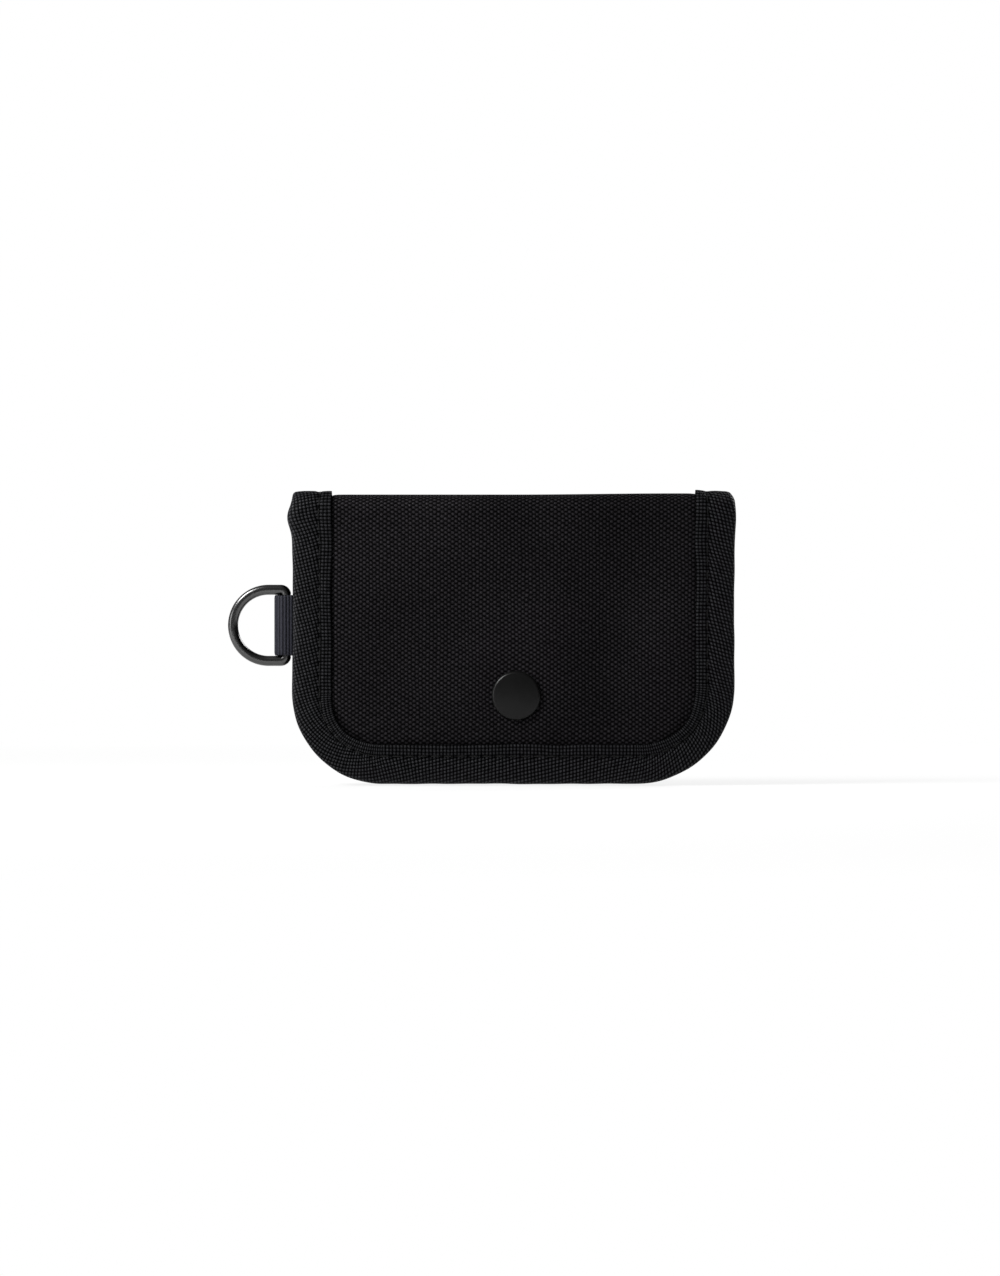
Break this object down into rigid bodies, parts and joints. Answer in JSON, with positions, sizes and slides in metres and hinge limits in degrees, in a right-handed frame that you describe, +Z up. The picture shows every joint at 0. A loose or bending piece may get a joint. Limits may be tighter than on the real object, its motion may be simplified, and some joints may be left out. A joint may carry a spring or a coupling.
{
  "type": "passport holder wallet",
  "caption": "Fold-over cloth passport wallet with bound edges, passport and card pockets, a flap with a press fastener and a D-ring on a webbing tab.",
  "frame": {"origin": "centre of the flat back face, at mid-width and mid-height of the closed wallet", "axes": "+Z up with the fold at the top, +Y out of the back face (the flap faces -Y), +X to the right of a person facing the flap"},
  "size_m": [0.188, 0.0153, 0.108],
  "materials": {
    "outer_cloth": "coarse plain-woven black nylon",
    "binding_tape": "black plain-woven binding tape, slightly shiny",
    "lining": "fine black lining cloth",
    "pocket_cloth": "black woven nylon",
    "pocket_trim": "folded black ribbon",
    "foam": "soft grey foam sheet",
    "webbing": "ribbed blue-black grosgrain",
    "snap_black": "matte black enamel",
    "snap_metal": "black oxide",
    "spring_wire": "bright spring wire",
    "ring_black": "satin black coating"
  },
  "bodies": {
    "back": {"shell_back": "outer_cloth", "foam_back": "foam", "lining_back": "lining", "passport_pocket": "pocket_cloth", "passport_pocket_trim": "pocket_trim", "card_pocket": "pocket_cloth", "card_pocket_trim": "pocket_trim", "binding_back": "binding_tape", "snap_stud": "snap_metal", "snap_eyelet": "snap_metal", "ring_tab": "webbing"},
    "spine": {"shell_spine": "outer_cloth", "lining_spine": "lining", "binding_spine": "binding_tape"},
    "flap": {"shell_flap": "outer_cloth", "foam_flap": "foam", "lining_flap": "lining", "binding_flap": "binding_tape", "snap_cap": "snap_black", "snap_socket": "snap_metal", "snap_spring": "spring_wire"},
    "ring": {"d_ring": "ring_black"}
  },
  "joints": [
    {"name": "spine_fold", "type": "hinge", "parent": "back", "child": "spine", "pos_m": [0, -0.00144, 0.05256], "axis": [-1, 0, 0], "range_deg": [0, 90]},
    {"name": "flap_fold", "type": "hinge", "parent": "spine", "child": "flap", "pos_m": [0, -0.01196, 0.05256], "axis": [-1, 0, 0], "range_deg": [0, 90]},
    {"name": "ring_swing", "type": "hinge", "parent": "back", "child": "ring", "pos_m": [-0.0844, -0.00635, 0.0047], "axis": [0, 0, 1], "range_deg": [-90, 90]}
  ],
  "couplings": [
    {"joint": "spine_fold", "follows": "flap_fold", "ratio": 1}
  ]
}
